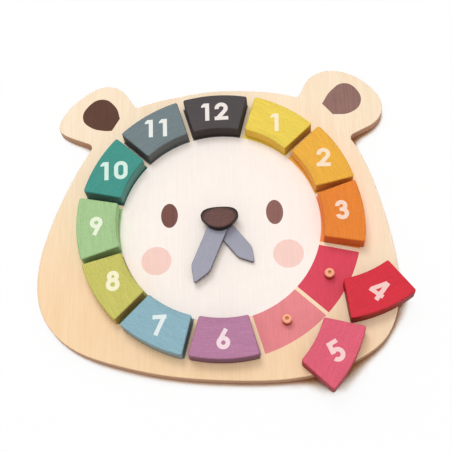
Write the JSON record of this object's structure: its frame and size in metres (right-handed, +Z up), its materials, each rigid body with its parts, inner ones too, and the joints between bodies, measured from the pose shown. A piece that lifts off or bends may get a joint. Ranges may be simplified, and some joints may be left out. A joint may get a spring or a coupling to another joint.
{
  "type": "clock puzzle",
  "caption": "Flat wooden bear-head clock puzzle: numbered hour blocks lift off pegs round a dial, and two hands turn by hand on a pin under a nose knob.",
  "frame": {"origin": "axis of the two hands, at the board's underside", "axes": "+Z up out of the dial, +Y towards 12 o'clock, +X towards 3 o'clock"},
  "size_m": [0.2738, 0.2607, 0.0223],
  "materials": {
    "board_ply": "clear matt lacquer over sanded birch ply, with a printed face",
    "peg_wood": "sanded, clear lacquer",
    "pivot_wood": "bare beech dowel",
    "hand_paint": "satin grey paint",
    "nose_paint": "satin brown paint, darker at the rim",
    "washer": "natural nylon",
    "stain_yellow": "satin water stain, with a printed numeral",
    "stain_amber": "satin water stain, with a printed numeral",
    "stain_orange": "satin water stain, with a printed numeral",
    "stain_red": "satin water stain, with a printed numeral",
    "stain_pink": "satin water stain, with a printed numeral",
    "stain_mauve": "satin water stain, with a printed numeral",
    "stain_sky_blue": "satin water stain, with a printed numeral",
    "stain_lime": "satin water stain, with a printed numeral",
    "stain_sage": "satin water stain, with a printed numeral",
    "stain_teal": "satin water stain, with a printed numeral",
    "stain_slate": "satin water stain, with a printed numeral",
    "stain_charcoal": "satin water stain, with a printed numeral"
  },
  "bodies": {
    "root": {"board": "board_ply", "pivot_pin": "pivot_wood", "nose": "nose_paint", "hour_washer": "washer", "minute_washer": "washer", "peg_01": "peg_wood", "peg_02": "peg_wood", "peg_03": "peg_wood", "peg_04": "peg_wood", "peg_05": "peg_wood", "peg_06": "peg_wood", "peg_07": "peg_wood", "peg_08": "peg_wood", "peg_09": "peg_wood", "peg_10": "peg_wood", "peg_11": "peg_wood", "peg_12": "peg_wood"},
    "hour_hand": {"hour_hand": "hand_paint"},
    "minute_hand": {"minute_hand": "hand_paint"},
    "block_01": {"block_01": "stain_yellow"},
    "block_02": {"block_02": "stain_amber"},
    "block_03": {"block_03": "stain_orange"},
    "block_04": {"block_04": "stain_red"},
    "block_05": {"block_05": "stain_pink"},
    "block_06": {"block_06": "stain_mauve"},
    "block_07": {"block_07": "stain_sky_blue"},
    "block_08": {"block_08": "stain_lime"},
    "block_09": {"block_09": "stain_sage"},
    "block_10": {"block_10": "stain_teal"},
    "block_11": {"block_11": "stain_slate"},
    "block_12": {"block_12": "stain_charcoal"}
  },
  "joints": [
    {"name": "hour_hand_turn", "type": "hinge", "parent": "root", "child": "hour_hand", "pos_m": [0, 0, 0.0098], "axis": [0, 0, 1], "continuous": true},
    {"name": "minute_hand_turn", "type": "hinge", "parent": "root", "child": "minute_hand", "pos_m": [0, 0, 0.0136], "axis": [0, 0, 1], "continuous": true},
    {"name": "block_01_lift", "type": "slide", "parent": "root", "child": "block_01", "axis": [0, 0, 1], "range_m": [0, 0.012]},
    {"name": "block_02_lift", "type": "slide", "parent": "root", "child": "block_02", "axis": [0, 0, 1], "range_m": [0, 0.012]},
    {"name": "block_03_lift", "type": "slide", "parent": "root", "child": "block_03", "axis": [0, 0, 1], "range_m": [0, 0.012]},
    {"name": "block_04_lift", "type": "slide", "parent": "root", "child": "block_04", "axis": [0, 0, 1], "range_m": [0, 0.012]},
    {"name": "block_05_lift", "type": "slide", "parent": "root", "child": "block_05", "axis": [0, 0, 1], "range_m": [0, 0.012]},
    {"name": "block_06_lift", "type": "slide", "parent": "root", "child": "block_06", "axis": [0, 0, 1], "range_m": [0, 0.012]},
    {"name": "block_07_lift", "type": "slide", "parent": "root", "child": "block_07", "axis": [0, 0, 1], "range_m": [0, 0.012]},
    {"name": "block_08_lift", "type": "slide", "parent": "root", "child": "block_08", "axis": [0, 0, 1], "range_m": [0, 0.012]},
    {"name": "block_09_lift", "type": "slide", "parent": "root", "child": "block_09", "axis": [0, 0, 1], "range_m": [0, 0.012]},
    {"name": "block_10_lift", "type": "slide", "parent": "root", "child": "block_10", "axis": [0, 0, 1], "range_m": [0, 0.012]},
    {"name": "block_11_lift", "type": "slide", "parent": "root", "child": "block_11", "axis": [0, 0, 1], "range_m": [0, 0.012]},
    {"name": "block_12_lift", "type": "slide", "parent": "root", "child": "block_12", "axis": [0, 0, 1], "range_m": [0, 0.012]}
  ]
}
